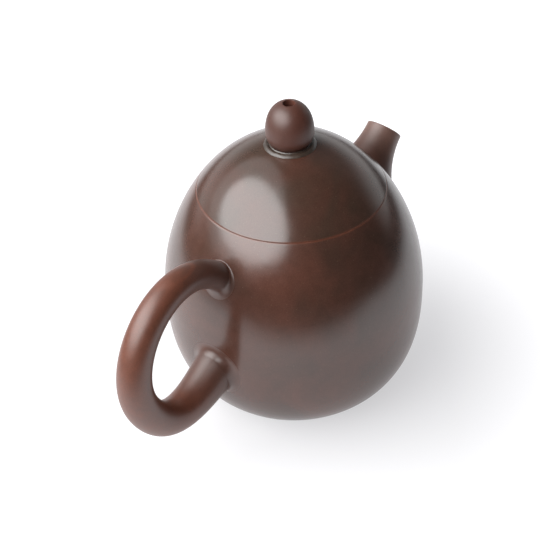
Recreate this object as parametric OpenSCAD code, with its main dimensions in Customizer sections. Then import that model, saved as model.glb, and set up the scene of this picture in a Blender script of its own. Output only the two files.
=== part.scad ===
// Small hand built clay teapot with an egg shaped body, a cut lid and a round ear handle.
// Origin: centre of the foot, on the table. +Z up, +X towards the spout. Millimetres.

/* [Body] */
// Widest diameter of the body
body_d = 70; // [56:1:90]
// Height of the widest place above the table
belly_h = 32; // [26:0.5:40]
// Height of the closed egg above its widest place
crown_h = 44.7; // [36:0.1:56]
// Diameter of the foot
foot_d = 42; // [34:1:50]
// Fullness of the curve above the widest place, where 2 is an ellipse
crown_fullness = 1.93; // [1.8:0.01:2.3]
// Fullness of the curve below the widest place
belly_fullness = 2.68; // [2.2:0.01:3.2]
// Thickness of the wall
wall_t = 2.6; // [2:0.1:3.4]

/* [Foot] */
// Width of the ring that the pot stands on
foot_ring_w = 3.4; // [2.5:0.1:5]
// Height of the base disc above the table
foot_recess = 0.7; // [0.4:0.1:1.5]
// Thickness of the base disc
base_t = 3; // [2:0.1:4.5]

/* [Mouth] */
// Height of the lid's dome above its cut edge
lid_rise = 13.9; // [11:0.1:17]
// Width of the flat edge that the lid rests on
land_w = 4.4; // [3.8:0.1:6]
// Height of the ring that thickens the mouth
mouth_ring_h = 5; // [3:0.5:8]
// Width of the fine groove along the cut
seam_groove_w = 0.7; // [0.3:0.1:1.2]

/* [Lid] */
// Thickness of the lid's dome
lid_t = 2.6; // [2:0.1:3.4]
// Depth of the flange below the cut
flange_h = 8; // [5:0.5:12]
// Thickness of the flange
flange_t = 2.2; // [1.6:0.1:3]
// Gap between the flange and the mouth, all round
flange_gap = 0.3; // [0.2:0.05:0.6]
// Diameter of the vent through the knob and the lid
vent_d = 3.2; // [2:0.1:4]

/* [Knob] */
// Widest diameter of the knob
knob_d = 12.6; // [10:0.1:16]
// Diameter of the knob where it stands on the lid
knob_foot_d = 9.6; // [7:0.1:9.9]
// Height of the knob's widest place above the lid's crown
knob_mid_h = 2.9; // [2:0.1:5]
// Height of the knob's top above its widest place
knob_crown_h = 8.5; // [6:0.1:12]
// Fullness of the knob's upper curve
knob_fullness = 2.3; // [2:0.05:2.6]
// Bevel at the mouth of the vent
vent_bevel = 0.4; // [0.2:0.1:0.7]
// Width of the clay ring round the knob's foot
collar_w = 1.8; // [1.2:0.1:3]
// Height of the clay ring above the lid
collar_h = 0.8; // [0.4:0.1:1.4]
// Width of the groove between the clay ring and the knob
collar_gap = 0.3; // [0.1:0.1:0.6]

/* [Spout] */
// Height where the spout's axis leaves the body
spout_root_h = 48; // [44:0.2:52]
// Length of the spout's axis from the body to the tip
spout_l = 14.1; // [11:0.1:20]
// Angle of the spout above the level
spout_tilt = 42; // [30:0.5:50]
// Outer diameter at the tip
spout_tip_d = 10; // [8:0.1:11]
// Wall of the spout at its tip
spout_tip_t = 1.2; // [1:0.1:1.8]
// Diameter of the channel where it leaves the body
spout_bore_d = 10.6; // [8:0.2:11.6]
// Radius of the curve that widens the spout
spout_flare_r = 26; // [20:1:40]
// Length of the spout along which it curves out
spout_flare_l = 12; // [8:0.5:14]
// Reach of the luting clay round the spout's root
spout_luting_r = 3; // [2:0.2:4]

/* [Strainer] */
// Outer diameter of the ball strainer
strainer_d = 16; // [14:0.5:18]
// Thickness of the ball strainer
strainer_t = 1.3; // [1:0.1:2]
// Diameter of each hole in it
strainer_hole_d = 1.6; // [1:0.1:2]
// Rings of holes round the middle hole
strainer_rings = 2; // [1:1:2]

/* [Handle] */
// Height of the handle's upper joint
handle_top_h = 52.5; // [48:0.1:56]
// Height of the handle's lower joint
handle_foot_h = 24.2; // [18:0.1:28]
// Height of the handle's outer bend
handle_bend_h = 29.3; // [26:0.1:36]
// Distance from the body's widest place to the middle of the bar at the bend
handle_reach = 26.2; // [22:0.1:34]
// Angle above the level at which the handle leaves its upper joint
handle_top_tilt = 46; // [35:0.5:60]
// Angle below the level at which the handle leaves its lower joint
handle_foot_tilt = 26; // [10:0.5:35]
// Angle at which the bar leans in below the bend
handle_bend_lean = 29.3; // [15:0.1:40]
// Diameter of the bar at its upper joint
handle_top_d = 7.3; // [6:0.1:9]
// Diameter of the bar at its bend
handle_bend_d = 9.2; // [8:0.1:11]
// Diameter of the bar at its lower joint
handle_foot_d = 11.8; // [8:0.1:13]
// Reach of the luting clay round the handle's joints
handle_luting_r = 2.4; // [1.5:0.1:3]

/* [Hidden] */
$fn = 128;

// Pulls that shape the handle's two curves, as shares of the straight way between their ends
upper_pulls = [0.587, 0.598];
lower_pulls = [0.653, 0.2];

// Gap that keeps the luting clay off the pieces it joins
luting_gap = 0.03;
// Steps across the luting clay's hollow, and round it
luting_steps = 5;
luting_sides = 48;

clay = "#5f4337";
dark_clay = "#54443a";
red_clay = "#6b4434";

// Steps along each half of the egg's outline
egg_steps = 40;
// Steps along the spout's flare, and along the knob's lower and upper curves
flare_steps = 12;
knob_foot_steps = 16;
knob_crown_steps = 20;
// Sides of the clay ring's section, and of the small round cuts and edges
collar_sides = 24;
small_sides = 32;
// Sides of each hole in the strainer
hole_sides = 24;

// The strainer's first ring has six holes, the next twelve, with this angle from ring to ring
ring_holes = 6;
ring_angle = 24;
// Room that a cutting shape runs past the piece it cuts
past = 1;

body_r = body_d / 2;
// The lower curve runs on below the table, so that the foot has its own diameter
belly_depth = belly_h / pow(1 - pow(foot_d / body_d, belly_fullness), 1 / belly_fullness);
crown_z = belly_h + crown_h;
seam_z = crown_z - lid_rise;
seam_r = egg_r(seam_z);
mouth_r = seam_r - land_w;
flange_r = mouth_r - flange_gap;
base_r = foot_d / 2 - foot_ring_w;
floor_z = foot_recess + base_t;
vent_r = vent_d / 2;

knob_r = knob_d / 2;
knob_foot_r = knob_foot_d / 2;
knob_mid_z = crown_z + knob_mid_h;
knob_top_z = knob_mid_z + knob_crown_h;
// The knob's lower curve passes through its foot, where it meets the lid
knob_depth = (knob_mid_z - egg_r_to_z(knob_foot_r)) / sqrt(1 - pow(knob_foot_r / knob_r, 2));
collar_mid_r = knob_foot_r + collar_gap + collar_w / 2;

spout_root = [egg_r(spout_root_h), 0, spout_root_h];
spout_tip_r = spout_tip_d / 2;
spout_bore_r = spout_bore_d / 2;
spout_flare_angle = asin(spout_flare_l / spout_flare_r);
spout_flare_end_r = spout_tip_r + spout_flare_r * (1 - cos(spout_flare_angle));
// How far the spout's blank runs on inside the body before it is cut to the wall
spout_sink = 7;

// Height of the egg's outline at a radius, above its widest place
function egg_r_to_z(r) =
    belly_h + crown_h * pow(1 - pow(r / body_r, crown_fullness), 1 / crown_fullness);

// Radius of the egg at a height
function egg_r(z) = z >= belly_h
    ? body_r * pow(1 - pow((z - belly_h) / crown_h, crown_fullness), 1 / crown_fullness)
    : body_r * pow(1 - pow((belly_h - z) / belly_depth, belly_fullness), 1 / belly_fullness);

// A point of a rounded outline: a is 0 at the widest place and 90 on the axis
function oval_point(a, r, h, n) = [r * pow(cos(a), 2 / n), h * pow(sin(a), 2 / n)];

// The outward direction at that point
function oval_normal(a, r, h, n) =
    let (d = [pow(cos(a), 2 - 2 / n) / r, pow(sin(a), 2 - 2 / n) / h]) d / norm(d);

// A point of the egg's outline moved in by a thickness, from a = -90 (below) to 90 (above)
function egg_point(a, inset) =
    let (up = a >= 0, b = abs(a),
        h = up ? crown_h : belly_depth,
        n = up ? crown_fullness : belly_fullness,
        p = oval_point(b, body_r, h, n) - inset * oval_normal(b, body_r, h, n))
    [p.x, belly_h + (up ? p.y : -p.y)];

// Angle above the level at which the egg's wall faces at a height
function egg_facing(z) =
    let (up = z >= belly_h,
        h = up ? crown_h : belly_depth,
        n = up ? crown_fullness : belly_fullness,
        a = asin(pow(abs(z - belly_h) / h, n / 2)),
        d = oval_normal(a, body_r, h, n))
    (up ? 1 : -1) * atan2(d.y, d.x);

// Half section of the whole egg, moved in by a thickness
module egg_section(inset = 0) {
    polygon([for (i = [-egg_steps : egg_steps]) egg_point(90 * i / egg_steps, inset)]);
}

// Half plane strip between two radii and two heights
module band(r0, r1, z0, z1) {
    translate([r0, z0]) square([r1 - r0, z1 - z0]);
}

// The part of the egg that the pot and the lid fill
module egg_solid(inset = 0) {
    rotate_extrude() intersection() {
        egg_section(inset);
        band(0, body_r, 0, crown_z);
    }
}

module seam_groove() {
    translate([seam_r, seam_z]) circle(d = seam_groove_w, $fn = small_sides);
}

// The wall between two heights
module wall(low, high) {
    rotate_extrude() difference() {
        intersection() {
            egg_section();
            band(base_r, body_r + past, low, high);
        }
        intersection() {
            egg_section(wall_t);
            band(0, body_r, floor_z, crown_z);
        }
        seam_groove();
    }
}

module belly_wall() {
    color(clay) wall(0, belly_h);
}

module shoulder_wall() {
    color(clay) difference() {
        wall(belly_h, seam_z);
        spout_channel(spout_bore_r);
    }
}

module base_disc() {
    color(clay) translate([0, 0, foot_recess]) cylinder(r = base_r, h = base_t);
}

module mouth_ring() {
    color(clay) rotate_extrude() intersection() {
        egg_section(wall_t);
        band(mouth_r, body_r, seam_z - mouth_ring_h, seam_z);
    }
}

// Moves its children to the spout's root, with +Z along the spout
module at_spout() {
    translate(spout_root) rotate([0, 90 - spout_tilt, 0]) children();
}

module spout_channel(r) {
    at_spout() translate([0, 0, -spout_sink - past]) cylinder(r = r, h = spout_sink + 2 * past);
}

// Outer radius of the spout at a distance along its axis from the root
function spout_r(t) =
    let (s = spout_l - t)
    s < spout_flare_l
        ? spout_tip_r + spout_flare_r - sqrt(pow(spout_flare_r, 2) - s * s)
        : spout_flare_end_r + (s - spout_flare_l) * tan(spout_flare_angle);

module spout_blank() {
    at_spout() rotate_extrude() polygon(concat(
        [[0, -spout_sink], [spout_r(-spout_sink), -spout_sink]],
        [for (i = [flare_steps : -1 : 0])
            let (t = spout_l - spout_flare_l * i / flare_steps) [spout_r(t), t]],
        [[0, spout_l]]));
}

module spout() {
    color(red_clay) difference() {
        spout_blank();
        at_spout() rotate_extrude() polygon([
            [0, spout_l + past], [spout_tip_r - spout_tip_t, spout_l + past],
            [spout_tip_r - spout_tip_t, spout_l], [spout_bore_r, 0],
            [spout_bore_r, -spout_sink - past], [0, -spout_sink - past]]);
        egg_solid();
    }
}

// Place on the skin of a round bar: its root, its direction, its radius there, the angle round it
// and the distance along it
function skin(root, dir, r, a, t) =
    root + t * dir + r * (cos(a) * [-dir.z, 0, dir.x] + sin(a) * [0, 1, 0]);

// Distance along a bar at which its skin leaves the egg, between one inside and one outside
function leaves_egg(root, dir, radius, a, low, high, tries = 24) =
    let (t = (low + high) / 2, p = skin(root, dir, radius(t), a, t))
    tries == 0 ? t
    : norm([p.x, p.y]) > egg_r(p.z)
        ? leaves_egg(root, dir, radius, a, low, t, tries - 1)
        : leaves_egg(root, dir, radius, a, t, high, tries - 1);

// One section of the fillet between a bar and the body, at the angle a round the bar
function luting_section(root, dir, radius, a, reach, high) =
    let (t = leaves_egg(root, dir, radius, a, -high, high),
        corner = skin(root, dir, radius(t), a, t),
        on_bar = skin(root, dir, radius(t + reach), a, t + reach),
        out = cos(a) * [-dir.z, 0, dir.x] + sin(a) * [0, 1, 0],
        facing = egg_facing(corner.z),
        turn = atan2(corner.y, corner.x),
        normal = [cos(facing) * cos(turn), cos(facing) * sin(turn), sin(facing)],
        along = out - (out * normal) * normal,
        p = on_bar + luting_gap * out,
        q = corner + luting_gap * (out + normal),
        r = corner + reach * along / norm(along) + luting_gap * normal)
    concat([q], [for (i = [0 : luting_steps]) let (s = i / luting_steps)
        pow(1 - s, 2) * p + 2 * s * (1 - s) * q + s * s * r]);

// Fillet of luting clay all round a bar whose root is on the body
module luting(root, dir, radius, reach, high) {
    n = luting_steps + 2;
    polyhedron(
        [for (k = [0 : luting_sides - 1]) each
            luting_section(root, dir, radius, 360 * k / luting_sides, reach, high)],
        [for (k = [0 : luting_sides - 1], i = [0 : n - 1])
            let (l = (k + 1) % luting_sides, j = (i + 1) % n)
            [k * n + i, k * n + j, l * n + j, l * n + i]]);
}

module spout_luting() {
    color(clay) luting(spout_root, [cos(spout_tilt), 0, sin(spout_tilt)],
        function (t) spout_r(t), spout_luting_r, spout_sink);
}

module strainer() {
    color(clay) intersection() {
        at_spout() translate([0, 0, -wall_t]) difference() {
            rotate([90, 0, 0]) sphere(d = strainer_d);
            rotate([90, 0, 0]) sphere(d = strainer_d - 2 * strainer_t);
            for (ring = [0 : strainer_rings], i = [0 : max(1, ring_holes * ring) - 1])
                rotate([180 - ring_angle * ring, 0, 360 * i / max(1, ring_holes * ring)])
                    cylinder(d = strainer_hole_d, h = strainer_d, $fn = hole_sides);
        }
        egg_solid(wall_t);
    }
}

handle_top = [-egg_r(handle_top_h), 0, handle_top_h];
handle_bend = [-body_r - handle_reach, 0, handle_bend_h];
handle_foot = [-egg_r(handle_foot_h), 0, handle_foot_h];
handle_top_dir = [-cos(handle_top_tilt), 0, sin(handle_top_tilt)];
handle_foot_dir = [-cos(handle_foot_tilt), 0, -sin(handle_foot_tilt)];
handle_bend_dir = [sin(handle_bend_lean), 0, -cos(handle_bend_lean)];

// Each end of the bar is straight for this much outside the body, and runs on inside it
handle_stub = 4;
handle_sink = 3;
handle_from = handle_top + handle_stub * handle_top_dir;
handle_to = handle_foot + handle_stub * handle_foot_dir;
upper_span = norm(handle_bend - handle_from);
lower_span = norm(handle_to - handle_bend);
handle_sides = 24;
handle_rings = 14;

// The two curves of the bar, each as its ends and its two pulls
upper_bow = [handle_from, handle_from + upper_pulls[0] * upper_span * handle_top_dir,
    handle_bend - upper_pulls[1] * upper_span * handle_bend_dir, handle_bend];
lower_bow = [handle_bend, handle_bend + lower_pulls[0] * lower_span * handle_bend_dir,
    handle_to + lower_pulls[1] * lower_span * handle_foot_dir, handle_to];

function bow_point(b, t) =
    pow(1 - t, 3) * b[0] + 3 * pow(1 - t, 2) * t * b[1] + 3 * (1 - t) * t * t * b[2] + t * t * t * b[3];
function bow_dir(b, t) =
    let (d = pow(1 - t, 2) * (b[1] - b[0]) + 2 * (1 - t) * t * (b[2] - b[1]) + t * t * (b[3] - b[2]))
    d / norm(d);

// Each ring of the bar: its centre, its direction and its radius
handle_path = concat(
    [[handle_top - handle_sink * handle_top_dir, handle_top_dir, handle_top_d / 2]],
    [for (i = [0 : handle_rings]) let (t = i / handle_rings)
        [bow_point(upper_bow, t), bow_dir(upper_bow, t),
            (handle_top_d + (handle_bend_d - handle_top_d) * t) / 2]],
    [for (i = [1 : handle_rings]) let (t = i / handle_rings)
        [bow_point(lower_bow, t), bow_dir(lower_bow, t),
            (handle_bend_d + (handle_foot_d - handle_bend_d) * t * t) / 2]],
    [[handle_foot - handle_sink * handle_foot_dir, -handle_foot_dir, handle_foot_d / 2]]);

// Round bar through a path in the XZ plane
module bar(path, sides) {
    last = len(path) - 1;
    polyhedron(
        [for (ring = path, k = [0 : sides - 1]) skin(ring[0], ring[1], ring[2], 360 * k / sides, 0)],
        concat(
            [[for (k = [0 : sides - 1]) k]],
            [for (i = [0 : last - 1], k = [0 : sides - 1]) let (n = (k + 1) % sides)
                [i * sides + k, (i + 1) * sides + k, (i + 1) * sides + n, i * sides + n]],
            [[for (k = [sides - 1 : -1 : 0]) last * sides + k]]));
}

module handle() {
    color(red_clay) difference() {
        bar(handle_path, handle_sides);
        egg_solid();
    }
}

module handle_top_luting() {
    color(red_clay) luting(handle_top, handle_top_dir,
        function (t) handle_top_d / 2, handle_luting_r, handle_stub);
}

module handle_foot_luting() {
    color(red_clay) luting(handle_foot, handle_foot_dir,
        function (t) handle_foot_d / 2, handle_luting_r, handle_stub);
}

module lid_dome() {
    color(dark_clay) rotate_extrude() difference() {
        intersection() {
            egg_section();
            band(vent_r, body_r, seam_z, crown_z);
        }
        intersection() {
            egg_section(lid_t);
            band(0, flange_r, seam_z, crown_z);
        }
        seam_groove();
    }
}

module lid_flange() {
    foot_z = seam_z - flange_h + flange_t / 2;
    color(dark_clay) rotate_extrude() {
        intersection() {
            egg_section(lid_t);
            band(flange_r - flange_t, flange_r, foot_z, crown_z);
        }
        translate([flange_r - flange_t / 2, foot_z]) circle(d = flange_t, $fn = small_sides);
    }
}

module knob_section() {
    polygon(concat(
        [for (i = [knob_foot_steps : -1 : 0])
            let (p = oval_point(90 * i / knob_foot_steps, knob_r, knob_depth, 2))
            [p.x, knob_mid_z - p.y]],
        [for (i = [1 : knob_crown_steps])
            let (p = oval_point(90 * i / knob_crown_steps, knob_r, knob_crown_h, knob_fullness))
            [p.x, knob_mid_z + p.y]]));
}

module knob() {
    color(red_clay) rotate_extrude() difference() {
        knob_section();
        egg_section();
        band(0, vent_r, 0, knob_top_z + past);
        translate([0, knob_top_z - vent_bevel]) polygon([
            [0, 0], [vent_r, 0], [vent_r + vent_bevel + past, vent_bevel + past],
            [0, vent_bevel + past]]);
    }
}

module knob_collar() {
    color(clay) rotate_extrude() difference() {
        translate([collar_mid_r, egg_r_to_z(collar_mid_r)])
            polygon([for (i = [1 : collar_sides]) let (a = 360 * i / collar_sides)
                [collar_w / 2 * cos(a), collar_h * sin(a)]]);
        egg_section();
        knob_section();
    }
}

belly_wall();
shoulder_wall();
base_disc();
mouth_ring();
spout();
spout_luting();
strainer();
handle();
handle_top_luting();
handle_foot_luting();
lid_dome();
lid_flange();
knob_collar();
knob();
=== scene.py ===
"""Looks of a small hand built clay teapot: the CAD model's pieces, rebuilt as smooth clay.

The camera is first, then the shapes, the clay, the pieces, the stage and the lights.
Metres, in the CAD frame: origin at the centre of the foot, +Z up, +X towards the spout.
"""
from math import asin, cos, exp, hypot, pi, radians, sin, sqrt, tan

import bmesh
import bpy
from mathutils import Matrix, Vector, noise


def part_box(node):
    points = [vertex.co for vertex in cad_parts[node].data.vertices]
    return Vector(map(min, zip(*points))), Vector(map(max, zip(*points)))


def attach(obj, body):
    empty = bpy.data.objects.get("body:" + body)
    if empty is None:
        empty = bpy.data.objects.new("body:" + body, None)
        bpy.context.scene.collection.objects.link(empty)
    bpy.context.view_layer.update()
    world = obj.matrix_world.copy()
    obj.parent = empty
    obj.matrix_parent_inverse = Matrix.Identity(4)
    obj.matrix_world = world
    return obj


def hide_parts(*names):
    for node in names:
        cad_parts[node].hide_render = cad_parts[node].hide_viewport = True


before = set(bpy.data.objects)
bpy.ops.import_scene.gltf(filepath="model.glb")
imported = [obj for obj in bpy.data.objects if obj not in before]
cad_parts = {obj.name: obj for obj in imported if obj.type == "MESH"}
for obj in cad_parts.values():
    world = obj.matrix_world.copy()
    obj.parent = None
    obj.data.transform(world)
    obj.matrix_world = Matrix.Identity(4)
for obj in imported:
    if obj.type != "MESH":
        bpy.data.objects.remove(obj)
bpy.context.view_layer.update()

MM = 0.001


# ---------------------------------------------------------------- camera

FOCAL_PX = 1500        # focal length for a picture 550 pixels wide
PICTURE_PX = 550
SENSOR = 36            # millimetres
LOOK_AZIMUTH = 39      # degrees from +X, the level direction that the camera looks in
LOOK_DOWN = 38.6
ROLL = -2.2
LOOK_SHIFT = -5.11 * MM
LOOK_HEIGHT = 33.3 * MM
DISTANCE = 407.7 * MM


def look_axes():
    a, e, roll = radians(LOOK_AZIMUTH), radians(LOOK_DOWN), radians(ROLL)
    level = Vector((cos(a), sin(a), 0))
    side = Vector((sin(a), -cos(a), 0))
    ahead = level * cos(e) - Vector((0, 0, 1)) * sin(e)
    up = level * sin(e) + Vector((0, 0, 1)) * cos(e)
    return side, ahead, side * cos(roll) + up * sin(roll), up * cos(roll) - side * sin(roll)


def make_camera():
    side, ahead, right, up = look_axes()
    data = bpy.data.cameras.new("camera")
    data.sensor_width = SENSOR
    data.lens = SENSOR * FOCAL_PX / PICTURE_PX
    data.clip_start = 0.01
    camera = bpy.data.objects.new("camera", data)
    turn = Matrix((right, up, -ahead)).transposed().to_4x4()
    place = side * LOOK_SHIFT + Vector((0, 0, LOOK_HEIGHT)) - ahead * DISTANCE
    camera.matrix_world = Matrix.Translation(place) @ turn
    bpy.context.scene.collection.objects.link(camera)
    bpy.context.scene.camera = camera


make_camera()


# ---------------------------------------------------------------- sizes, taken from the frame

LOW, HIGH = 0, 1
X, Y, Z = 0, 1, 2
BODY_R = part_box("belly_wall")[HIGH][Y]
BELLY_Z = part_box("belly_wall")[HIGH][Z]
SEAM_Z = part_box("shoulder_wall")[HIGH][Z]
BASE_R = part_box("base_disc")[HIGH][X]
BASE_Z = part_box("base_disc")[LOW][Z]
FLOOR_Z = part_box("base_disc")[HIGH][Z]
RING_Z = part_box("mouth_ring")[LOW][Z]
FLANGE_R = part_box("lid_flange")[HIGH][X]
FLANGE_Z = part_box("lid_flange")[LOW][Z]
KNOB_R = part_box("knob")[HIGH][X]
COLLAR_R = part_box("knob_collar")[HIGH][X]

# The egg, as the design gives it
CROWN_H = 44.7 * MM
FOOT_R = 21 * MM
CROWN_FULL = 1.93
BELLY_FULL = 2.68
WALL = 2.6 * MM
BELLY_DEPTH = BELLY_Z / (1 - (FOOT_R / BODY_R) ** BELLY_FULL) ** (1 / BELLY_FULL)
CROWN_Z = BELLY_Z + CROWN_H


def egg_r(z):
    """Radius of the egg at a height."""
    if z >= BELLY_Z:
        return BODY_R * max(0, 1 - ((z - BELLY_Z) / CROWN_H) ** CROWN_FULL) ** (1 / CROWN_FULL)
    return BODY_R * (1 - ((BELLY_Z - z) / BELLY_DEPTH) ** BELLY_FULL) ** (1 / BELLY_FULL)


def egg_z(r):
    """Height of the egg's upper half at a radius."""
    return BELLY_Z + CROWN_H * (1 - (r / BODY_R) ** CROWN_FULL) ** (1 / CROWN_FULL)


def egg_point(a, inset=0.0):
    """Point (r, z) of the outline moved in; a runs from -pi/2, below, to pi/2, above."""
    high, full = (CROWN_H, CROWN_FULL) if a >= 0 else (BELLY_DEPTH, BELLY_FULL)
    b = abs(a)
    c, s = max(cos(b), 0.0), sin(b)
    r, z = BODY_R * c ** (2 / full), high * s ** (2 / full)
    n = Vector((c ** (2 - 2 / full) / BODY_R, s ** (2 - 2 / full) / high)).normalized()
    r, z = r - inset * n.x, z - inset * n.y
    return r, BELLY_Z + (z if a >= 0 else -z)


def egg_angle(z, inset=0.0):
    """The angle a at which the moved outline passes a height."""
    low, high = -pi / 2, pi / 2
    for _ in range(50):
        mid = (low + high) / 2
        if egg_point(mid, inset)[1] < z:
            low = mid
        else:
            high = mid
    return (low + high) / 2


def egg_run(z0, z1, count, inset=0.0):
    """Points of the moved outline from one height to another."""
    a0, a1 = egg_angle(z0, inset), egg_angle(z1, inset)
    return [egg_point(a0 + (a1 - a0) * i / count, inset) for i in range(count + 1)]


def egg_normal(p):
    """Outward direction of the egg's surface at a point on it."""
    up = p.z >= BELLY_Z
    high, full = (CROWN_H, CROWN_FULL) if up else (BELLY_DEPTH, BELLY_FULL)
    r = hypot(p.x, p.y)
    nr = (r / BODY_R) ** (full - 1) / BODY_R
    nz = (abs(p.z - BELLY_Z) / high) ** (full - 1) / high * (1 if up else -1)
    return Vector((nr * p.x / r, nr * p.y / r, nz)).normalized()


# ---------------------------------------------------------------- mesh tools

def add_mesh(name, points, faces):
    mesh = bpy.data.meshes.new(name)
    mesh.from_pydata([tuple(p) for p in points], [], faces)
    mesh.validate()
    bm = bmesh.new()
    bm.from_mesh(mesh)
    bmesh.ops.recalc_face_normals(bm, faces=bm.faces)
    bm.to_mesh(mesh)
    bm.free()
    mesh.shade_smooth()
    obj = bpy.data.objects.new(name, mesh)
    bpy.context.scene.collection.objects.link(obj)
    return obj


def sharpen(obj, degrees=38):
    """Keeps the corners that are sharper than this crisp."""
    obj.data.set_sharp_from_angle(angle=radians(degrees))


def corner(before, at, after, radius, steps=4):
    """Rounds one corner of an outline: the points of an arc near it."""
    a, b = Vector(before) - Vector(at), Vector(after) - Vector(at)
    reach = min(radius, 0.45 * a.length, 0.45 * b.length)
    p, q = Vector(at) + a.normalized() * reach, Vector(at) + b.normalized() * reach
    out = []
    for i in range(steps + 1):
        t = i / steps
        out.append(tuple(p * (1 - t) ** 2 + Vector(at) * 2 * t * (1 - t) + q * t * t))
    return out


def rounded(outline, corners):
    """An outline whose listed corners, {index: radius}, are rounded."""
    out = []
    for i, p in enumerate(outline):
        if i in corners:
            after = outline[(i + 1) % len(outline)]
            out += corner(outline[i - 1], p, after, corners[i])
        else:
            out.append(tuple(p))
    return out


def revolve(name, outline, steps=192, wobble=None):
    """Closed solid from a closed outline of (r, z); wobble(point, angle) may move a point."""
    count = len(outline)
    points = []
    for k in range(steps):
        a = 2 * pi * k / steps
        for r, z in outline:
            p = Vector((r * cos(a), r * sin(a), z))
            points.append(wobble(p, a) if wobble else p)
    faces = []
    for k in range(steps):
        m = (k + 1) % steps
        for i in range(count):
            j = (i + 1) % count
            faces.append((k * count + i, m * count + i, m * count + j, k * count + j))
    return add_mesh(name, points, faces)


def hand_made(depth, scale, seed):
    """A wobble that presses the surface in here and there, as fingers and paddles do."""
    shift = Vector((seed * 17.0, seed * 5.0, seed * 3.0))

    def wobble(p, a):
        n = 0.5 + 0.5 * noise.noise(p * scale + shift)
        r = hypot(p.x, p.y)
        if r < 1e-6:
            return p
        return p - Vector((p.x / r, p.y / r, 0)) * depth * n
    return wobble


def cut(obj, tool):
    """Cuts the tool's shape out of the object and removes the tool."""
    mod = obj.modifiers.new("cut", "BOOLEAN")
    mod.operation = "DIFFERENCE"
    mod.solver = "EXACT"
    mod.object = tool
    bpy.context.view_layer.update()
    graph = bpy.context.evaluated_depsgraph_get()
    mesh = bpy.data.meshes.new_from_object(obj.evaluated_get(graph))
    obj.modifiers.clear()
    old = obj.data
    obj.data = mesh
    mesh.name = obj.name
    bpy.data.meshes.remove(old)
    bpy.data.objects.remove(tool)


WELD = 0.004 * MM


def weld(obj):
    """Joins the points that a cut leaves almost on top of each other."""
    bm = bmesh.new()
    bm.from_mesh(obj.data)
    bmesh.ops.remove_doubles(bm, verts=bm.verts, dist=WELD)
    bmesh.ops.dissolve_degenerate(bm, edges=bm.edges, dist=WELD)
    bm.to_mesh(obj.data)
    bm.free()


def cross_axes(direction):
    """Two directions square to one that lies in the XZ plane."""
    return Vector((-direction.z, 0, direction.x)), Vector((0, 1, 0))


def tube(name, rings, sides):
    """Closed skin through rings of (centre, direction, radius), with a flat end at each side."""
    points, faces = [], []
    for centre, direction, radius in rings:
        u, v = cross_axes(direction)
        for k in range(sides):
            a = 2 * pi * k / sides
            points.append(centre + radius * (cos(a) * u + sin(a) * v))
    n = len(rings)
    for i in range(n - 1):
        for k in range(sides):
            m = (k + 1) % sides
            faces.append((i * sides + k, (i + 1) * sides + k, (i + 1) * sides + m, i * sides + m))
    faces.append(tuple(range(sides)))
    faces.append(tuple((n - 1) * sides + k for k in range(sides)))
    return add_mesh(name, points, faces)


# ---------------------------------------------------------------- luting: a fillet that leaves no line

def skin_point(root, direction, radius, a, t):
    u, v = cross_axes(direction)
    return root + direction * t + radius(t) * (cos(a) * u + sin(a) * v)


def leaves_egg(root, direction, radius, a, reach):
    low, high = -reach, reach
    for _ in range(40):
        t = (low + high) / 2
        p = skin_point(root, direction, radius, a, t)
        if hypot(p.x, p.y) > egg_r(p.z):
            high = t
        else:
            low = t
    return (low + high) / 2


def onto_egg(p):
    """Moves a point onto the egg's surface along its normal."""
    for _ in range(6):
        n = egg_normal(p)
        miss = hypot(p.x, p.y) - egg_r(p.z)
        flat = hypot(n.x, n.y)
        p = p - n * miss * flat
    return p


def luting(name, root, direction, radius, on_bar, on_body, search, sides=96, steps=14):
    """Ring of clay between a bar's skin and the body, tangent to both."""
    # Both edges run just under the clay that they meet, so that neither shows as a step
    under_bar, under_body = 0.02 * MM, 0.05 * MM
    sink = 0.4 * MM
    points = []
    for k in range(sides):
        a = 2 * pi * k / sides
        t = leaves_egg(root, direction, radius, a, search)
        foot = skin_point(root, direction, radius, a, t)
        top = skin_point(root, direction, radius, a, t + on_bar(a))
        above = skin_point(root, direction, radius, a, t + on_bar(a) + 0.1 * MM)
        along_bar = (top - above).normalized()
        u, v = cross_axes(direction)
        out = cos(a) * u + sin(a) * v
        n = egg_normal(foot)
        away = (out - n * out.dot(n)).normalized()
        edge = onto_egg(foot + away * on_body(a))
        n_edge = egg_normal(edge)
        inward = foot - edge
        along_body = (inward - n_edge * inward.dot(n_edge)).normalized()
        p0 = top - out * under_bar
        p3 = edge - n_edge * under_body
        pull = 0.62
        p1 = p0 + along_bar * on_bar(a) * pull
        p2 = p3 + along_body * on_body(a) * pull
        for i in range(steps + 1):
            s = i / steps
            points.append(p0 * (1 - s) ** 3 + p1 * 3 * s * (1 - s) ** 2
                          + p2 * 3 * s * s * (1 - s) + p3 * s ** 3)
        points.append(p3 - n_edge * sink)
        points.append(foot - n * sink - out * sink)
        points.append(p0 - out * sink)
    count = steps + 4
    faces = []
    for k in range(sides):
        m = (k + 1) % sides
        for i in range(count):
            j = (i + 1) % count
            faces.append((k * count + i, k * count + j, m * count + j, m * count + i))
    obj = add_mesh(name, points, faces)
    sharpen(obj, 60)
    return obj


# ---------------------------------------------------------------- clay

HANDLE_TOP_Z = 52.5 * MM
HANDLE_FOOT_Z = 24.2 * MM
handle_top = Vector((-egg_r(HANDLE_TOP_Z), 0, HANDLE_TOP_Z))
handle_foot = Vector((-egg_r(HANDLE_FOOT_Z), 0, HANDLE_FOOT_Z))


def node(tree, kind, inputs=None, **settings):
    n = tree.nodes.new(kind)
    for key, value in settings.items():
        setattr(n, key, value)
    for key, value in (inputs or {}).items():
        if isinstance(value, bpy.types.NodeSocket):
            tree.links.new(value, n.inputs[key])
        else:
            n.inputs[key].default_value = value
    return n


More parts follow.
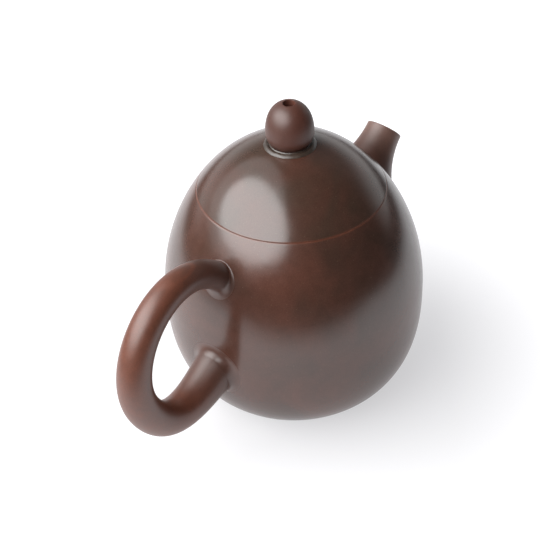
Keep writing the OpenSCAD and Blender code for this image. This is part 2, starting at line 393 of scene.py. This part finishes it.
def ramp(tree, value, low, high, to_low=0.0, to_high=1.0):
    """A value brought from one range to another, and held at its ends."""
    return node(tree, "ShaderNodeMapRange", {
        "Value": value, "From Min": low, "From Max": high,
        "To Min": to_low, "To Max": to_high}).outputs["Result"]


def maths(tree, operation, a, b=0.0):
    return node(tree, "ShaderNodeMath", {0: a, 1: b}, operation=operation).outputs[0]


def clay(name, deep, warm, red=None, rough=0.2, worn=0.0):
    """Unglazed, burnished clay: cloudy colour, fine grain, pale grains of sand and a low sheen.

    Away from the body's axis, and along the cut of the lid, the clay turns red; the spout's tip turns
    paler, partly with painted light.
    """
    mat = bpy.data.materials.new(name)
    mat.use_nodes = True
    tree = mat.node_tree
    shader = tree.nodes["Principled BSDF"]
    where = node(tree, "ShaderNodeTexCoord").outputs["Object"]

    def grain(scale, detail, roughness=0.5, distortion=0.0):
        return node(tree, "ShaderNodeTexNoise", {
            "Vector": where, "Scale": scale, "Detail": detail,
            "Roughness": roughness, "Distortion": distortion}).outputs["Fac"]

    def mix(fac, a, b, blend="MIX"):
        n = node(tree, "ShaderNodeMix", {0: fac, 6: a, 7: b}, data_type="RGBA", blend_type=blend)
        return n.outputs[2]

    clouds = grain(CLOUD_SCALE, 3, 0.5, 0.5)
    mottle = grain(MOTTLE_SCALE, 4, 0.6)
    fine = grain(GRAIN_SCALE, 3, 0.65)
    sand = node(tree, "ShaderNodeTexVoronoi", {"Vector": where, "Scale": SAND_SCALE}, feature="F1")
    sand_size = ramp(tree, sand.outputs["Distance"], *SAND_EDGE, 1.0, 0.0)
    # Only a few of the cells hold a pale grain or a dark pore
    chosen = node(tree, "ShaderNodeSeparateColor", {"Color": sand.outputs["Color"]})
    pale = maths(tree, "MULTIPLY", sand_size, ramp(tree, chosen.outputs[0], *PALE_CELLS))
    dark = maths(tree, "MULTIPLY", sand_size, ramp(tree, chosen.outputs[1], *DARK_CELLS))

    colour = mix(ramp(tree, clouds, 0.36, 0.64), (*deep, 1), (*warm, 1))
    place = node(tree, "ShaderNodeSeparateXYZ", {"Vector": where})
    x, y, z = (place.outputs[axis] for axis in "XYZ")
    if red:
        out = maths(tree, "SQRT", maths(tree, "ADD", maths(tree, "MULTIPLY", x, x),
                                        maths(tree, "MULTIPLY", y, y)))
        away = maths(tree, "MULTIPLY", ramp(tree, out, BODY_R + RED_FROM, BODY_R + RED_TO),
                     ramp(tree, mottle, 0.2, 0.8, 0.75, 1.0))
        colour = mix(away, colour, (*red, 1))
        # The tip of the spout is paler than the rest: partly paler, matte clay, partly painted light
        # from the softbox on its upper side
        tip = maths(tree, "MULTIPLY", ramp(tree, x, *(k * BODY_R for k in TIP_X), 0.0, TIP_PALE_AND_LIT),
                    ramp(tree, z, *(k * BELLY_Z for k in TIP_Z), 0.3, 1.0))
        colour = mix(tip, colour, (*CLAY_PALE_AND_LIT, 1))
        cut_line = maths(tree, "ABSOLUTE", maths(tree, "SUBTRACT", z, SEAM_Z))
        near_cut = ramp(tree, cut_line, *CUT_BAND, CUT_RED, 0.0)
        colour = mix(near_cut, colour, (*red, 1))
    tone = maths(tree, "MULTIPLY", ramp(tree, fine, 0.3, 0.7, *GRAIN_TONE),
                 ramp(tree, mottle, 0.3, 0.7, *MOTTLE_TONE))
    tone_colour = node(tree, "ShaderNodeCombineColor", {"Red": tone, "Green": tone, "Blue": tone})
    colour = mix(1.0, colour, tone_colour.outputs["Color"], "MULTIPLY")
    pore = [c * PORE_TONE for c in deep]
    colour = mix(maths(tree, "MULTIPLY", dark, DARK_SHOWS), colour, (*pore, 1))
    colour = mix(maths(tree, "MULTIPLY", pale, PALE_SHOWS), colour, (*PALE_SAND, 1))
    if worn:
        patch = ramp(tree, grain(WORN_SCALE, 3, 0.6), 0.5, 0.66, 0.0, worn)
        colour = mix(patch, colour, (*WORN, 1))
    tree.links.new(colour, shader.inputs["Base Color"])

    gloss = maths(tree, "ADD", ramp(tree, mottle, 0.3, 0.7, rough - 0.02, rough + 0.03),
                  maths(tree, "MULTIPLY", pale, 0.04))
    if red:
        gloss = maths(tree, "ADD", gloss, maths(tree, "MULTIPLY", near_cut, 0.04))
        # Round the joints the burnishing tool reaches less
        handled = ramp(tree, x, *(k * BODY_R for k in SPOUT_SIDE), 0.0, JOINT_ROUGH)
        for joint in (handle_top, handle_foot):
            far = node(tree, "ShaderNodeVectorMath", {0: where, 1: joint}, operation="DISTANCE")
            handled = maths(tree, "MAXIMUM", handled,
                            ramp(tree, far.outputs["Value"], *JOINT_REACH, JOINT_ROUGH, 0.0))
        gloss = maths(tree, "ADD", gloss, handled)
    tree.links.new(gloss, shader.inputs["Roughness"])
    shader.inputs["IOR"].default_value = 1.5
    shader.inputs["Specular IOR Level"].default_value = POLISH

    swell = node(tree, "ShaderNodeBump", {
        "Height": grain(SWELL_SCALE, 2, 0.4), "Strength": 0.25, "Distance": SWELL_H})
    grit = node(tree, "ShaderNodeBump", {
        "Height": fine, "Strength": 0.25, "Distance": GRIT_H, "Normal": swell.outputs["Normal"]})
    tree.links.new(grit.outputs["Normal"], shader.inputs["Normal"])
    return mat


# Texture scales, in cells per metre
CLOUD_SCALE = 48
SWELL_SCALE = 70
MOTTLE_SCALE = 420
WORN_SCALE = 800
SAND_SCALE = 1900
GRAIN_SCALE = 3400
# The part of a cell that sand fills, and the cells that have a grain or a pore
SAND_EDGE = (0.08, 0.2)
PALE_CELLS = (0.9, 0.96)
DARK_CELLS = (0.92, 0.96)
PALE_SHOWS = 0.34
DARK_SHOWS = 0.3
PORE_TONE = 0.4
GRAIN_TONE = (0.86, 1.16)
MOTTLE_TONE = (0.95, 1.06)
SWELL_H = 0.4 * MM
GRIT_H = 0.02 * MM
# Where the clay turns red: beyond the body, and on both sides of the lid's cut
RED_FROM = 1 * MM
RED_TO = 14 * MM
CUT_BAND = (0.08 * MM, 0.36 * MM)
CUT_RED = 0.7
# The spout's tip in body radii and belly heights, and how much paler it gets, partly as painted light
TIP_X = (0.97, 1.15)
TIP_Z = (1.4, 1.8)
TIP_PALE_AND_LIT = 0.8
# Where the joints are less burnished, and by how much
SPOUT_SIDE = (0.9, 1.08)
JOINT_REACH = (5 * MM, 11 * MM)
JOINT_ROUGH = 0.03
# Colours, linear
PALE_SAND = (0.36, 0.25, 0.17)
WORN = (0.30, 0.28, 0.23)
POLISH = 0.95
CLAY_DEEP = (0.068, 0.033, 0.023)
CLAY_WARM = (0.110, 0.043, 0.029)
CLAY_RED = (0.165, 0.052, 0.028)
# The spout tip's pale colour: paler clay with painted softbox light mixed in
CLAY_PALE_AND_LIT = (0.235, 0.135, 0.108)
LID_DEEP = (0.058, 0.036, 0.025)
LID_WARM = (0.090, 0.038, 0.026)
KNOB_DEEP = (0.088, 0.032, 0.021)
KNOB_WARM = (0.122, 0.039, 0.024)
COLLAR_DEEP = (0.040, 0.027, 0.020)
COLLAR_WARM = (0.068, 0.044, 0.032)

body_clay = clay("body_clay", CLAY_DEEP, CLAY_WARM, CLAY_RED, rough=0.21)
handle_clay = clay("handle_clay", CLAY_DEEP, CLAY_WARM, CLAY_RED, rough=0.4)
luting_clay = clay("luting_clay", CLAY_DEEP, CLAY_WARM, CLAY_RED, rough=0.31)
lid_clay = clay("lid_clay", LID_DEEP, LID_WARM, CLAY_RED, rough=0.19)
knob_clay = clay("knob_clay", KNOB_DEEP, KNOB_WARM, rough=0.45)
collar_clay = clay("collar_clay", COLLAR_DEEP, COLLAR_WARM, rough=0.34, worn=0.1)


def dress(obj, material, body, slot, *nodes):
    """Gives a piece its clay and its body, and hides the CAD nodes that it stands for; the slot
    argument is not used.
    """
    obj.data.materials.clear()
    obj.data.materials.append(material)
    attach(obj, body)
    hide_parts(*nodes)
    return obj


# ---------------------------------------------------------------- the pot

# The spout
SPOUT_ROOT_Z = 48 * MM
SPOUT_LENGTH = 14.1 * MM
SPOUT_TILT = radians(42)
SPOUT_TIP_R = 5 * MM
SPOUT_LIP = 1.2 * MM
SPOUT_BORE_R = 5.3 * MM
SPOUT_FLARE_R = 26 * MM
SPOUT_FLARE_L = 12 * MM
SPOUT_START = 7 * MM        # its blank starts this far behind the root
SPOUT_LIP_EDGE = 1.0 * MM
SPOUT_BORE_EDGE = 0.6 * MM
CHANNEL_BEHIND = 8 * MM     # how far the channel's cut reaches into the pot, and out into the spout
CHANNEL_AHEAD = 3 * MM
# How far the corners of the wall, the mouth ring and the base are rounded, and how they fit
FOOT_EDGE = 1.2 * MM
FOOT_INNER_EDGE = 0.5 * MM
LIP_EDGE = 0.45 * MM
MOUTH_EDGE = 0.4 * MM
MOUTH_LOW_EDGE = 0.6 * MM
FLANGE_GAP = 0.3 * MM
BASE_BOW = 0.25 * MM
spout_root = Vector((egg_r(SPOUT_ROOT_Z), 0, SPOUT_ROOT_Z))
spout_way = Vector((cos(SPOUT_TILT), 0, sin(SPOUT_TILT)))


def spout_r(t):
    """Outer radius of the spout at a distance along its axis from the root."""
    s = SPOUT_LENGTH - t
    if s < SPOUT_FLARE_L:
        return SPOUT_TIP_R + SPOUT_FLARE_R - sqrt(SPOUT_FLARE_R ** 2 - s * s)
    lean = asin(SPOUT_FLARE_L / SPOUT_FLARE_R)
    return SPOUT_TIP_R + SPOUT_FLARE_R * (1 - cos(lean)) + (s - SPOUT_FLARE_L) * tan(lean)


def make_body_wall():
    inner_top = egg_run(FLOOR_Z, SEAM_Z, 60, WALL)
    outline = [(BASE_R, FLOOR_Z), (BASE_R, 0)]
    outer = egg_run(0, SEAM_Z, 110)
    outline += outer
    foot, lip = 2, 1 + len(outer)
    outline += list(reversed(inner_top))
    outline = rounded(outline, {1: FOOT_INNER_EDGE, foot: FOOT_EDGE, lip: LIP_EDGE})
    obj = revolve("body_wall", outline, 256, hand_made(0.06 * MM, 55, 1))
    channel = tube("channel", [(spout_root + spout_way * t, spout_way, SPOUT_BORE_R)
                               for t in (-CHANNEL_BEHIND, CHANNEL_AHEAD)], 48)
    cut(obj, channel)
    weld(obj)
    sharpen(obj)
    return dress(obj, body_clay, "pot", "body_clay", "belly_wall", "shoulder_wall")


def make_mouth_ring():
    inner_r = FLANGE_R + FLANGE_GAP
    wall = egg_run(RING_Z, SEAM_Z, 12, WALL)
    outline = [(inner_r, SEAM_Z), (inner_r, RING_Z)] + wall
    outline = rounded(outline, {0: MOUTH_EDGE, 1: MOUTH_LOW_EDGE})
    obj = revolve("mouth_ring", outline, 192)
    sharpen(obj)
    return dress(obj, body_clay, "pot", "body_clay", "mouth_ring")


def make_base_disc():
    """The disc bows up a little in its middle, as it shrinks in the kiln."""
    steps = 16
    low = [(BASE_R * i / steps, BASE_Z + BASE_BOW * (1 - (i / steps) ** 2))
           for i in range(1, steps + 1)]
    high = [(BASE_R * i / steps, FLOOR_Z) for i in range(steps, 0, -1)]
    outline = low + high
    sides = 128
    points, faces = [], []
    for k in range(sides):
        a = 2 * pi * k / sides
        points += [Vector((r * cos(a), r * sin(a), z)) for r, z in outline]
    n = len(outline)
    for k in range(sides):
        m = (k + 1) % sides
        for i in range(n - 1):
            faces.append((k * n + i, m * n + i, m * n + i + 1, k * n + i + 1))
    below, above = len(points), len(points) + 1
    points += [Vector((0, 0, BASE_Z + BASE_BOW)), Vector((0, 0, FLOOR_Z))]
    for k in range(sides):
        m = (k + 1) % sides
        faces.append((below, m * n, k * n))
        faces.append((above, k * n + n - 1, m * n + n - 1))
    obj = add_mesh("base_disc", points, faces)
    sharpen(obj)
    return dress(obj, body_clay, "pot", "body_clay", "base_disc")


def make_spout():
    """The spout, with the part of its blank that lies behind the wall's face drawn in."""
    steps = 40
    sink = 2.0 * MM
    drawn_in = 4 * MM
    # How much of each ring lies inside the wall changes round the spout, so the skin starts deep
    t0 = -SPOUT_START
    outer = [(spout_r(t), t) for t in
             [t0 + (SPOUT_LENGTH - t0) * i / steps for i in range(steps + 1)]]
    inner_tip = SPOUT_TIP_R - SPOUT_LIP
    inner = [(inner_tip, SPOUT_LENGTH), (SPOUT_BORE_R, 0), (SPOUT_BORE_R, t0)]
    outline = rounded(outer + inner, {steps: SPOUT_LIP_EDGE, steps + 1: SPOUT_BORE_EDGE})
    sides = 96
    u, v = cross_axes(spout_way)
    points, faces = [], []
    n = len(outline)
    for k in range(sides):
        a = 2 * pi * k / sides
        out = cos(a) * u + sin(a) * v
        leave = leaves_egg(spout_root, spout_way, spout_r, a, SPOUT_START)
        for r, t in outline:
            p = spout_root + spout_way * t + out * r
            if t < leave - sink and r > SPOUT_BORE_R * 1.01:
                # Below the wall's face the blank is drawn in, so that none of it shows
                q = skin_point(spout_root, spout_way, spout_r, a, leave - sink)
                p = q - egg_normal(onto_egg(q)) * 0.2 * MM
                p = p - out * drawn_in * (1 - exp((t - leave + sink) / drawn_in))
            points.append(p)
    for k in range(sides):
        m = (k + 1) % sides
        for i in range(n):
            j = (i + 1) % n
            faces.append((k * n + i, m * n + i, m * n + j, k * n + j))
    obj = add_mesh("spout", points, faces)
    sharpen(obj, 50)
    return dress(obj, handle_clay, "pot", "handle_clay", "spout")


def make_spout_luting():
    obj = luting("spout_luting", spout_root, spout_way, spout_r,
                 lambda a: 2.4 * MM, lambda a: 2.8 * MM, SPOUT_START)
    return dress(obj, luting_clay, "pot", "handle_clay", "spout_luting")


STRAINER_R = 8 * MM
STRAINER_WALL = 1.3 * MM
STRAINER_HOLE_R = 0.8 * MM
STRAINER_RINGS = 3
STRAINER_RING_ANGLE = 24    # degrees from one ring of holes to the next
STRAINER_CUT = (4 * MM, 10 * MM)      # the reach of each hole's cut, from the ball's centre


def make_strainer():
    """Half ball with rings of holes behind the spout's channel.

    Its lower rim is sunk in the spout's root; its upper rim stands a little clear of the wall.
    """
    centre = spout_root - spout_way * WALL
    u, v = cross_axes(spout_way)
    steps, sides = 20, 64

    def half_ball(radius):
        points = [centre - spout_way * radius]
        for i in range(1, steps + 1):
            b = 0.5 * pi * i / steps
            for k in range(sides):
                a = 2 * pi * k / sides
                points.append(centre - spout_way * cos(b) * radius
                              + (cos(a) * u + sin(a) * v) * sin(b) * radius)
        return points

    out_points, in_points = half_ball(STRAINER_R), half_ball(STRAINER_R - STRAINER_WALL)
    points = out_points + in_points
    shift = len(out_points)
    faces = []
    for base, flip in ((0, False), (shift, True)):
        for k in range(sides):
            m = (k + 1) % sides
            f = (base, base + 1 + k, base + 1 + m)
            faces.append(f if not flip else f[::-1])
        for i in range(steps - 1):
            for k in range(sides):
                m = (k + 1) % sides
                f = (base + 1 + i * sides + k, base + 1 + (i + 1) * sides + k,
                     base + 1 + (i + 1) * sides + m, base + 1 + i * sides + m)
                faces.append(f if not flip else f[::-1])
    rim = 1 + (steps - 1) * sides
    for k in range(sides):
        m = (k + 1) % sides
        faces.append((rim + k, shift + rim + k, shift + rim + m, rim + m))
    obj = add_mesh("strainer", points, faces)
    for ring in range(STRAINER_RINGS):
        count = max(1, 6 * ring)
        for i in range(count):
            b, a = radians(STRAINER_RING_ANGLE * ring), 2 * pi * i / count
            way = (-spout_way * cos(b) + (cos(a) * u + sin(a) * v) * sin(b)).normalized()
            cut(obj, drill(centre, way))
    sharpen(obj, 40)
    return dress(obj, body_clay, "pot", "body_clay", "strainer")


def drill(centre, way, sides=20):
    """Rod that cuts one of the strainer's holes."""
    side = way.orthogonal().normalized()
    other = way.cross(side)
    points, faces = [], []
    for t in STRAINER_CUT:
        for k in range(sides):
            c = 2 * pi * k / sides
            points.append(centre + way * t + (side * cos(c) + other * sin(c)) * STRAINER_HOLE_R)
    for k in range(sides):
        m = (k + 1) % sides
        faces.append((k, m, sides + m, sides + k))
    faces.append(tuple(range(sides)))
    faces.append(tuple(sides + k for k in range(sides)))
    return add_mesh("hole", points, faces)


HANDLE_BEND_Z = 29.3 * MM
HANDLE_REACH = 26.06 * MM
HANDLE_TOP_TILT = radians(46)
HANDLE_FOOT_TILT = radians(26)
HANDLE_LEAN = radians(29.3)
HANDLE_R = (3.65 * MM, 4.6 * MM, 5.9 * MM)
HANDLE_STUB = 4 * MM        # the control points of the bows start this far along the joints' axes
HANDLE_SINK = 1.5 * MM
UPPER_PULLS = (0.587, 0.598)
LOWER_PULLS = (0.653, 0.2)
handle_bend = Vector((-BODY_R - HANDLE_REACH, 0, HANDLE_BEND_Z))
top_way = Vector((-cos(HANDLE_TOP_TILT), 0, sin(HANDLE_TOP_TILT)))
foot_way = Vector((-cos(HANDLE_FOOT_TILT), 0, -sin(HANDLE_FOOT_TILT)))
bend_way = Vector((sin(HANDLE_LEAN), 0, -cos(HANDLE_LEAN)))


def bow(b, t):
    return (b[0] * (1 - t) ** 3 + b[1] * 3 * (1 - t) ** 2 * t
            + b[2] * 3 * (1 - t) * t * t + b[3] * t ** 3)


def bow_way(b, t):
    return ((b[1] - b[0]) * (1 - t) ** 2 + (b[2] - b[1]) * 2 * (1 - t) * t
            + (b[3] - b[2]) * t * t).normalized()


def make_handle():
    start = handle_top + top_way * HANDLE_STUB
    end = handle_foot + foot_way * HANDLE_STUB
    upper_span = (handle_bend - start).length
    lower_span = (end - handle_bend).length
    # The curves run on to the joints, so that nothing marks where the bar begins to bend
    upper = (handle_top, start + top_way * UPPER_PULLS[0] * upper_span,
             handle_bend - bend_way * UPPER_PULLS[1] * upper_span, handle_bend)
    lower = (handle_bend, handle_bend + bend_way * LOWER_PULLS[0] * lower_span,
             end + foot_way * LOWER_PULLS[1] * lower_span, handle_foot)
    r0, r1, r2 = HANDLE_R
    steps = 48
    rings = [(handle_top - top_way * HANDLE_SINK, top_way, r0)]
    rings += [(bow(upper, i / steps), bow_way(upper, i / steps), r0 + (r1 - r0) * i / steps)
              for i in range(steps + 1)]
    rings += [(bow(lower, i / steps), bow_way(lower, i / steps),
               r1 + (r2 - r1) * (i / steps) ** 2) for i in range(1, steps + 1)]
    rings += [(handle_foot - foot_way * HANDLE_SINK, -foot_way, r2)]
    obj = tube("handle", rings, 64)
    sharpen(obj, 60)
    return dress(obj, handle_clay, "pot", "handle_clay", "handle")


def make_handle_lutings():
    """Fillets at both ends; the upper one is pressed thin above and left fuller below."""
    top = luting("handle_top_luting", handle_top, top_way, lambda t: HANDLE_R[0],
                 lambda a: (1.4 + 0.8 * cos(a)) * MM, lambda a: (1.5 + 0.9 * cos(a)) * MM, 5 * MM)
    foot = luting("handle_foot_luting", handle_foot, foot_way, lambda t: HANDLE_R[2],
                  lambda a: 2.2 * MM, lambda a: 2.2 * MM, 5 * MM)
    dress(top, luting_clay, "pot", "handle_clay", "handle_top_luting")
    dress(foot, luting_clay, "pot", "handle_clay", "handle_foot_luting")


# ---------------------------------------------------------------- the lid

VENT_R = 1.6 * MM
LID = 2.6 * MM              # thickness of the dome
LID_EDGE = 0.4 * MM
FLANGE_WALL = 2.2 * MM
FLANGE_EDGE = 0.9 * MM
UNDER_CROWN = 0.02 * MM     # the inner curve stops just short of its own top


def make_lid_dome():
    outer_top = egg_z(VENT_R)
    outer = egg_run(SEAM_Z, outer_top, 70)
    outer[-1] = (VENT_R, outer_top)
    inner_run = egg_run(SEAM_Z, CROWN_Z - LID - UNDER_CROWN, 80, LID)
    inner = [p for p in inner_run if VENT_R < p[0] < FLANGE_R]
    inner = [(FLANGE_R, SEAM_Z)] + [(FLANGE_R, inner[0][1])] + inner + [(VENT_R, inner[-1][1])]
    outline = outer + list(reversed(inner))
    outline = rounded(outline, {0: LID_EDGE})
    obj = revolve("lid_dome", outline, 256, hand_made(0.05 * MM, 60, 2))
    sharpen(obj)
    return dress(obj, lid_clay, "lid", "lid_clay", "lid_dome")


def make_lid_flange():
    inner_r = FLANGE_R - FLANGE_WALL
    inner_run = [p for p in egg_run(SEAM_Z, CROWN_Z - LID - UNDER_CROWN, 80, LID)
                 if inner_r < p[0] < FLANGE_R]
    outline = [(FLANGE_R, FLANGE_Z), (FLANGE_R, inner_run[0][1])] + inner_run
    outline += [(inner_r, inner_run[-1][1]), (inner_r, FLANGE_Z)]
    outline = rounded(outline, {0: FLANGE_EDGE, len(outline) - 1: FLANGE_EDGE})
    obj = revolve("lid_flange", outline, 192)
    sharpen(obj)
    return dress(obj, lid_clay, "lid", "lid_clay", "lid_flange")


KNOB_MID_Z = CROWN_Z + 2.9 * MM
KNOB_CROWN = 8.45 * MM
KNOB_FOOT_R = 4.8 * MM
KNOB_FULL = 2.3
KNOB_SINK = 0.25 * MM       # the knob's underside reaches this far in from its foot
VENT_EDGE = 0.32 * MM
KNOB_DEPTH = (KNOB_MID_Z - egg_z(KNOB_FOOT_R)) / sqrt(1 - (KNOB_FOOT_R / KNOB_R) ** 2)


def make_knob():
    steps = 40
    lower = []
    for i in range(steps + 1):
        b = 0.5 * pi * (1 - i / steps)
        r, z = KNOB_R * cos(b), KNOB_MID_Z - KNOB_DEPTH * sin(b)
        if r >= KNOB_FOOT_R - KNOB_SINK:
            lower.append((r, z))
    upper = []
    for i in range(1, steps + 1):
        b = 0.5 * pi * i / steps
        r = KNOB_R * cos(b) ** (2 / KNOB_FULL)
        z = KNOB_MID_Z + KNOB_CROWN * sin(b) ** (2 / KNOB_FULL)
        if r > VENT_R:
            upper.append((r, z))
    top = KNOB_MID_Z + KNOB_CROWN * (1 - (VENT_R / KNOB_R) ** KNOB_FULL) ** (1 / KNOB_FULL)
    foot_z = lower[0][1]
    outline = lower + upper + [(VENT_R, top), (VENT_R, foot_z)]
    at_rim = len(lower) + len(upper)
    outline = rounded(outline, {at_rim: VENT_EDGE})
    obj = revolve("knob", outline, 128, hand_made(0.06 * MM, 160, 3))
    sharpen(obj, 50)
    return dress(obj, knob_clay, "lid", "handle_clay", "knob")


COLLAR_GAP = 0.1 * MM
COLLAR_RIDGE_H = 0.3        # millimetres
COLLAR_RIDGE_HALF = 0.13    # of the collar's width
COLLAR_BAND_H = 0.5         # millimetres
COLLAR_BAND_FROM = 0.27
COLLAR_SINK = (0.3 * MM, 0.4 * MM)


def make_knob_collar():
    """Ring of clay smoothed round the knob's foot: a low ridge, a groove, then a broader ridge."""
    start, end = KNOB_FOOT_R + COLLAR_GAP, COLLAR_R
    steps = 28

    def high(s):
        ridge = COLLAR_RIDGE_H * max(0.0, 1 - abs(s - COLLAR_RIDGE_HALF) / COLLAR_RIDGE_HALF) ** 0.7
        along = min(1.0, max(0.0, (s - COLLAR_BAND_FROM) / (1 - COLLAR_BAND_FROM)))
        band = COLLAR_BAND_H * max(0.0, sin(pi * along)) ** 0.8
        return max(ridge, band) * MM

    crest = []
    for i in range(steps + 1):
        s = i / steps
        r = start + (end - start) * s
        crest.append((r, egg_z(r) + high(s)))
    under = [(end - COLLAR_GAP, egg_z(end) - COLLAR_SINK[0]),
             (start + COLLAR_GAP, egg_z(start) - COLLAR_SINK[1])]

    def uneven(p, a):
        r = hypot(p.x, p.y)
        above = p.z - egg_z(r)
        n = noise.noise(Vector((cos(a) * 1.6, sin(a) * 1.6, r / MM * 0.5)))
        m = noise.noise(Vector((cos(a) * 4, sin(a) * 4, 9)))
        if above > 0:
            p = Vector((p.x, p.y, egg_z(r) + above * (0.9 + 0.28 * n + 0.14 * m)))
        squeeze = 1 - 0.02 * (0.5 + 0.5 * m)
        return Vector((p.x * squeeze, p.y * squeeze, p.z))

    obj = revolve("knob_collar", crest + under, 160, uneven)
    sharpen(obj, 70)
    return dress(obj, collar_clay, "lid", "collar_clay", "knob_collar")


for make in (make_body_wall, make_mouth_ring, make_base_disc, make_spout, make_spout_luting,
             make_strainer, make_handle, make_handle_lutings, make_lid_dome, make_lid_flange,
             make_knob, make_knob_collar):
    make()


# ---------------------------------------------------------------- stage and light

FLOOR_SIZE = 3.0
FLOOR_TINT = (0.975, 0.975, 1, 1)
FLOOR_PALE = 0.32
# The floor's glow, lower near the pot and higher far from it, is painted light that shapes the pot's
# shadow
FLOOR_GLOW = 0.5
FLOOR_GLOW_FAR = 1.0
GLOW_FADES = 4.5            # foot radii
PAINTED_FILL_LEFT = 0.14            # extra glow painted on the floor's left side, in place of a fill light
PAINTED_FILL_SPAN = (-0.5, 2)       # foot radii, from left to right
SHEET_SEEN = 0.88
SHEET_DARK = 0.06
SHEET_FRONT = (-185 * MM, -85 * MM)
SHEET_SIDE = (150 * MM, 260 * MM)


def make_floor():
    """White sheet that glows a little, so that the pot's shadow is as soft as in the photo."""
    h = FLOOR_SIZE
    floor = add_mesh("floor", [(-h, -h, 0), (h, -h, 0), (h, h, 0), (-h, h, 0)], [(0, 1, 2, 3)])
    mat = bpy.data.materials.new("floor")
    mat.use_nodes = True
    tree = mat.node_tree
    shader = tree.nodes["Principled BSDF"]
    shader.inputs["Roughness"].default_value = 0.9
    shader.inputs["Specular IOR Level"].default_value = 0.1
    shader.inputs["Emission Color"].default_value = FLOOR_TINT
    where = node(tree, "ShaderNodeTexCoord").outputs["Object"]

    def along(direction):
        n = node(tree, "ShaderNodeVectorMath", {0: where, 1: direction}, operation="DOT_PRODUCT")
        return n.outputs["Value"]

    # The white sheet ends a little in front of the pot and to its sides, which the clay mirrors
    side, ahead = look_axes()[:2]
    level = Vector((ahead.x, ahead.y, 0)).normalized()
    sheet = maths(tree, "MULTIPLY",
                  ramp(tree, along(level), *SHEET_FRONT, SHEET_DARK, SHEET_SEEN),
                  ramp(tree, maths(tree, "ABSOLUTE", along(side)), *SHEET_SIDE, 1.0, SHEET_DARK))
    path = node(tree, "ShaderNodeLightPath")
    white = maths(tree, "MAXIMUM", sheet, path.outputs["Is Camera Ray"])
    # The floor glows more away from the pot and more on its left: painted light that makes the pot's
    # shadow fade soon there
    far = node(tree, "ShaderNodeVectorMath", {0: where}, operation="LENGTH").outputs["Value"]
    glow = maths(tree, "ADD",
                 ramp(tree, far, FOOT_R, GLOW_FADES * FOOT_R, FLOOR_GLOW, FLOOR_GLOW_FAR),
                 ramp(tree, along(side), *(k * FOOT_R for k in PAINTED_FILL_SPAN), PAINTED_FILL_LEFT, 0.0))
    tree.links.new(maths(tree, "MULTIPLY", glow, white), shader.inputs["Emission Strength"])
    tone = maths(tree, "MULTIPLY", white, FLOOR_PALE)
    colour = node(tree, "ShaderNodeCombineColor", {"Red": tone, "Green": tone, "Blue": tone})
    tree.links.new(colour.outputs["Color"], shader.inputs["Base Color"])
    floor.data.materials.append(mat)


AIM_H = 0.04                # the height that the lights face


def add_softbox(name, azimuth, elevation, distance, width, height, strength):
    """Area light that faces the middle of the pot; strength is the brightness of its face."""
    data = bpy.data.lights.new(name, "AREA")
    data.shape = "ELLIPSE"
    data.size, data.size_y = width, height
    data.energy = strength * pi * pi / 4 * width * height
    a, e = radians(azimuth), radians(elevation)
    way = Vector((cos(a) * cos(e), sin(a) * cos(e), sin(e)))
    lamp = bpy.data.objects.new(name, data)
    lamp.location = Vector((0, 0, AIM_H)) + way * distance
    lamp.rotation_euler = way.to_track_quat("Z", "Y").to_euler()
    bpy.context.scene.collection.objects.link(lamp)


BACKDROP_AZIMUTH = 39
BACKDROP_BRIGHT = 0.9       # near the horizon
BACKDROP_TOP = 0.14
BACKDROP_RISE = (0.05, 0.5)
BACKDROP_SPAN = (0.1, 0.6)
ROOM_DIM = 0.038
SEEN_WHITE = 1.2


def make_world():
    """White to the eye; for light and reflections a pale backdrop behind and a dim room elsewhere."""
    world = bpy.data.worlds.new("studio")
    bpy.context.scene.world = world
    world.use_nodes = True
    tree = world.node_tree
    ground = tree.nodes["Background"]
    out = tree.nodes["World Output"]
    way = node(tree, "ShaderNodeTexCoord").outputs["Generated"]
    a = radians(BACKDROP_AZIMUTH)
    facing = node(tree, "ShaderNodeVectorMath", {0: way, 1: (cos(a), sin(a), 0)},
                  operation="DOT_PRODUCT").outputs["Value"]
    height = node(tree, "ShaderNodeSeparateXYZ", {"Vector": way}).outputs["Z"]
    low = node(tree, "ShaderNodeMapRange", {
        "Value": height, "From Min": BACKDROP_RISE[0], "From Max": BACKDROP_RISE[1],
        "To Min": BACKDROP_BRIGHT, "To Max": BACKDROP_TOP}, interpolation_type="SMOOTHSTEP")
    glow = node(tree, "ShaderNodeMapRange", {
        "Value": facing, "From Min": BACKDROP_SPAN[0], "From Max": BACKDROP_SPAN[1],
        "To Min": ROOM_DIM, "To Max": low.outputs["Result"]}, interpolation_type="SMOOTHSTEP")
    colour = node(tree, "ShaderNodeCombineColor", {
        "Red": glow.outputs["Result"], "Green": glow.outputs["Result"], "Blue": glow.outputs["Result"]})
    tree.links.new(colour.outputs["Color"], ground.inputs["Color"])
    seen = node(tree, "ShaderNodeBackground", {"Color": (1, 1, 1, 1), "Strength": SEEN_WHITE})
    path = node(tree, "ShaderNodeLightPath")
    mixed = node(tree, "ShaderNodeMixShader", {
        0: path.outputs["Is Camera Ray"], 1: ground.outputs[0], 2: seen.outputs[0]})
    tree.links.new(mixed.outputs[0], out.inputs["Surface"])


make_floor()
make_world()
# Name, azimuth, elevation, distance, width, height, brightness
add_softbox("softbox", 158, 44, 0.5, 0.86, 0.48, 3.7)
add_softbox("spill", 140, 46, 0.56, 1.2, 0.8, 0.9)
bpy.context.scene.view_settings.view_transform = "Standard"
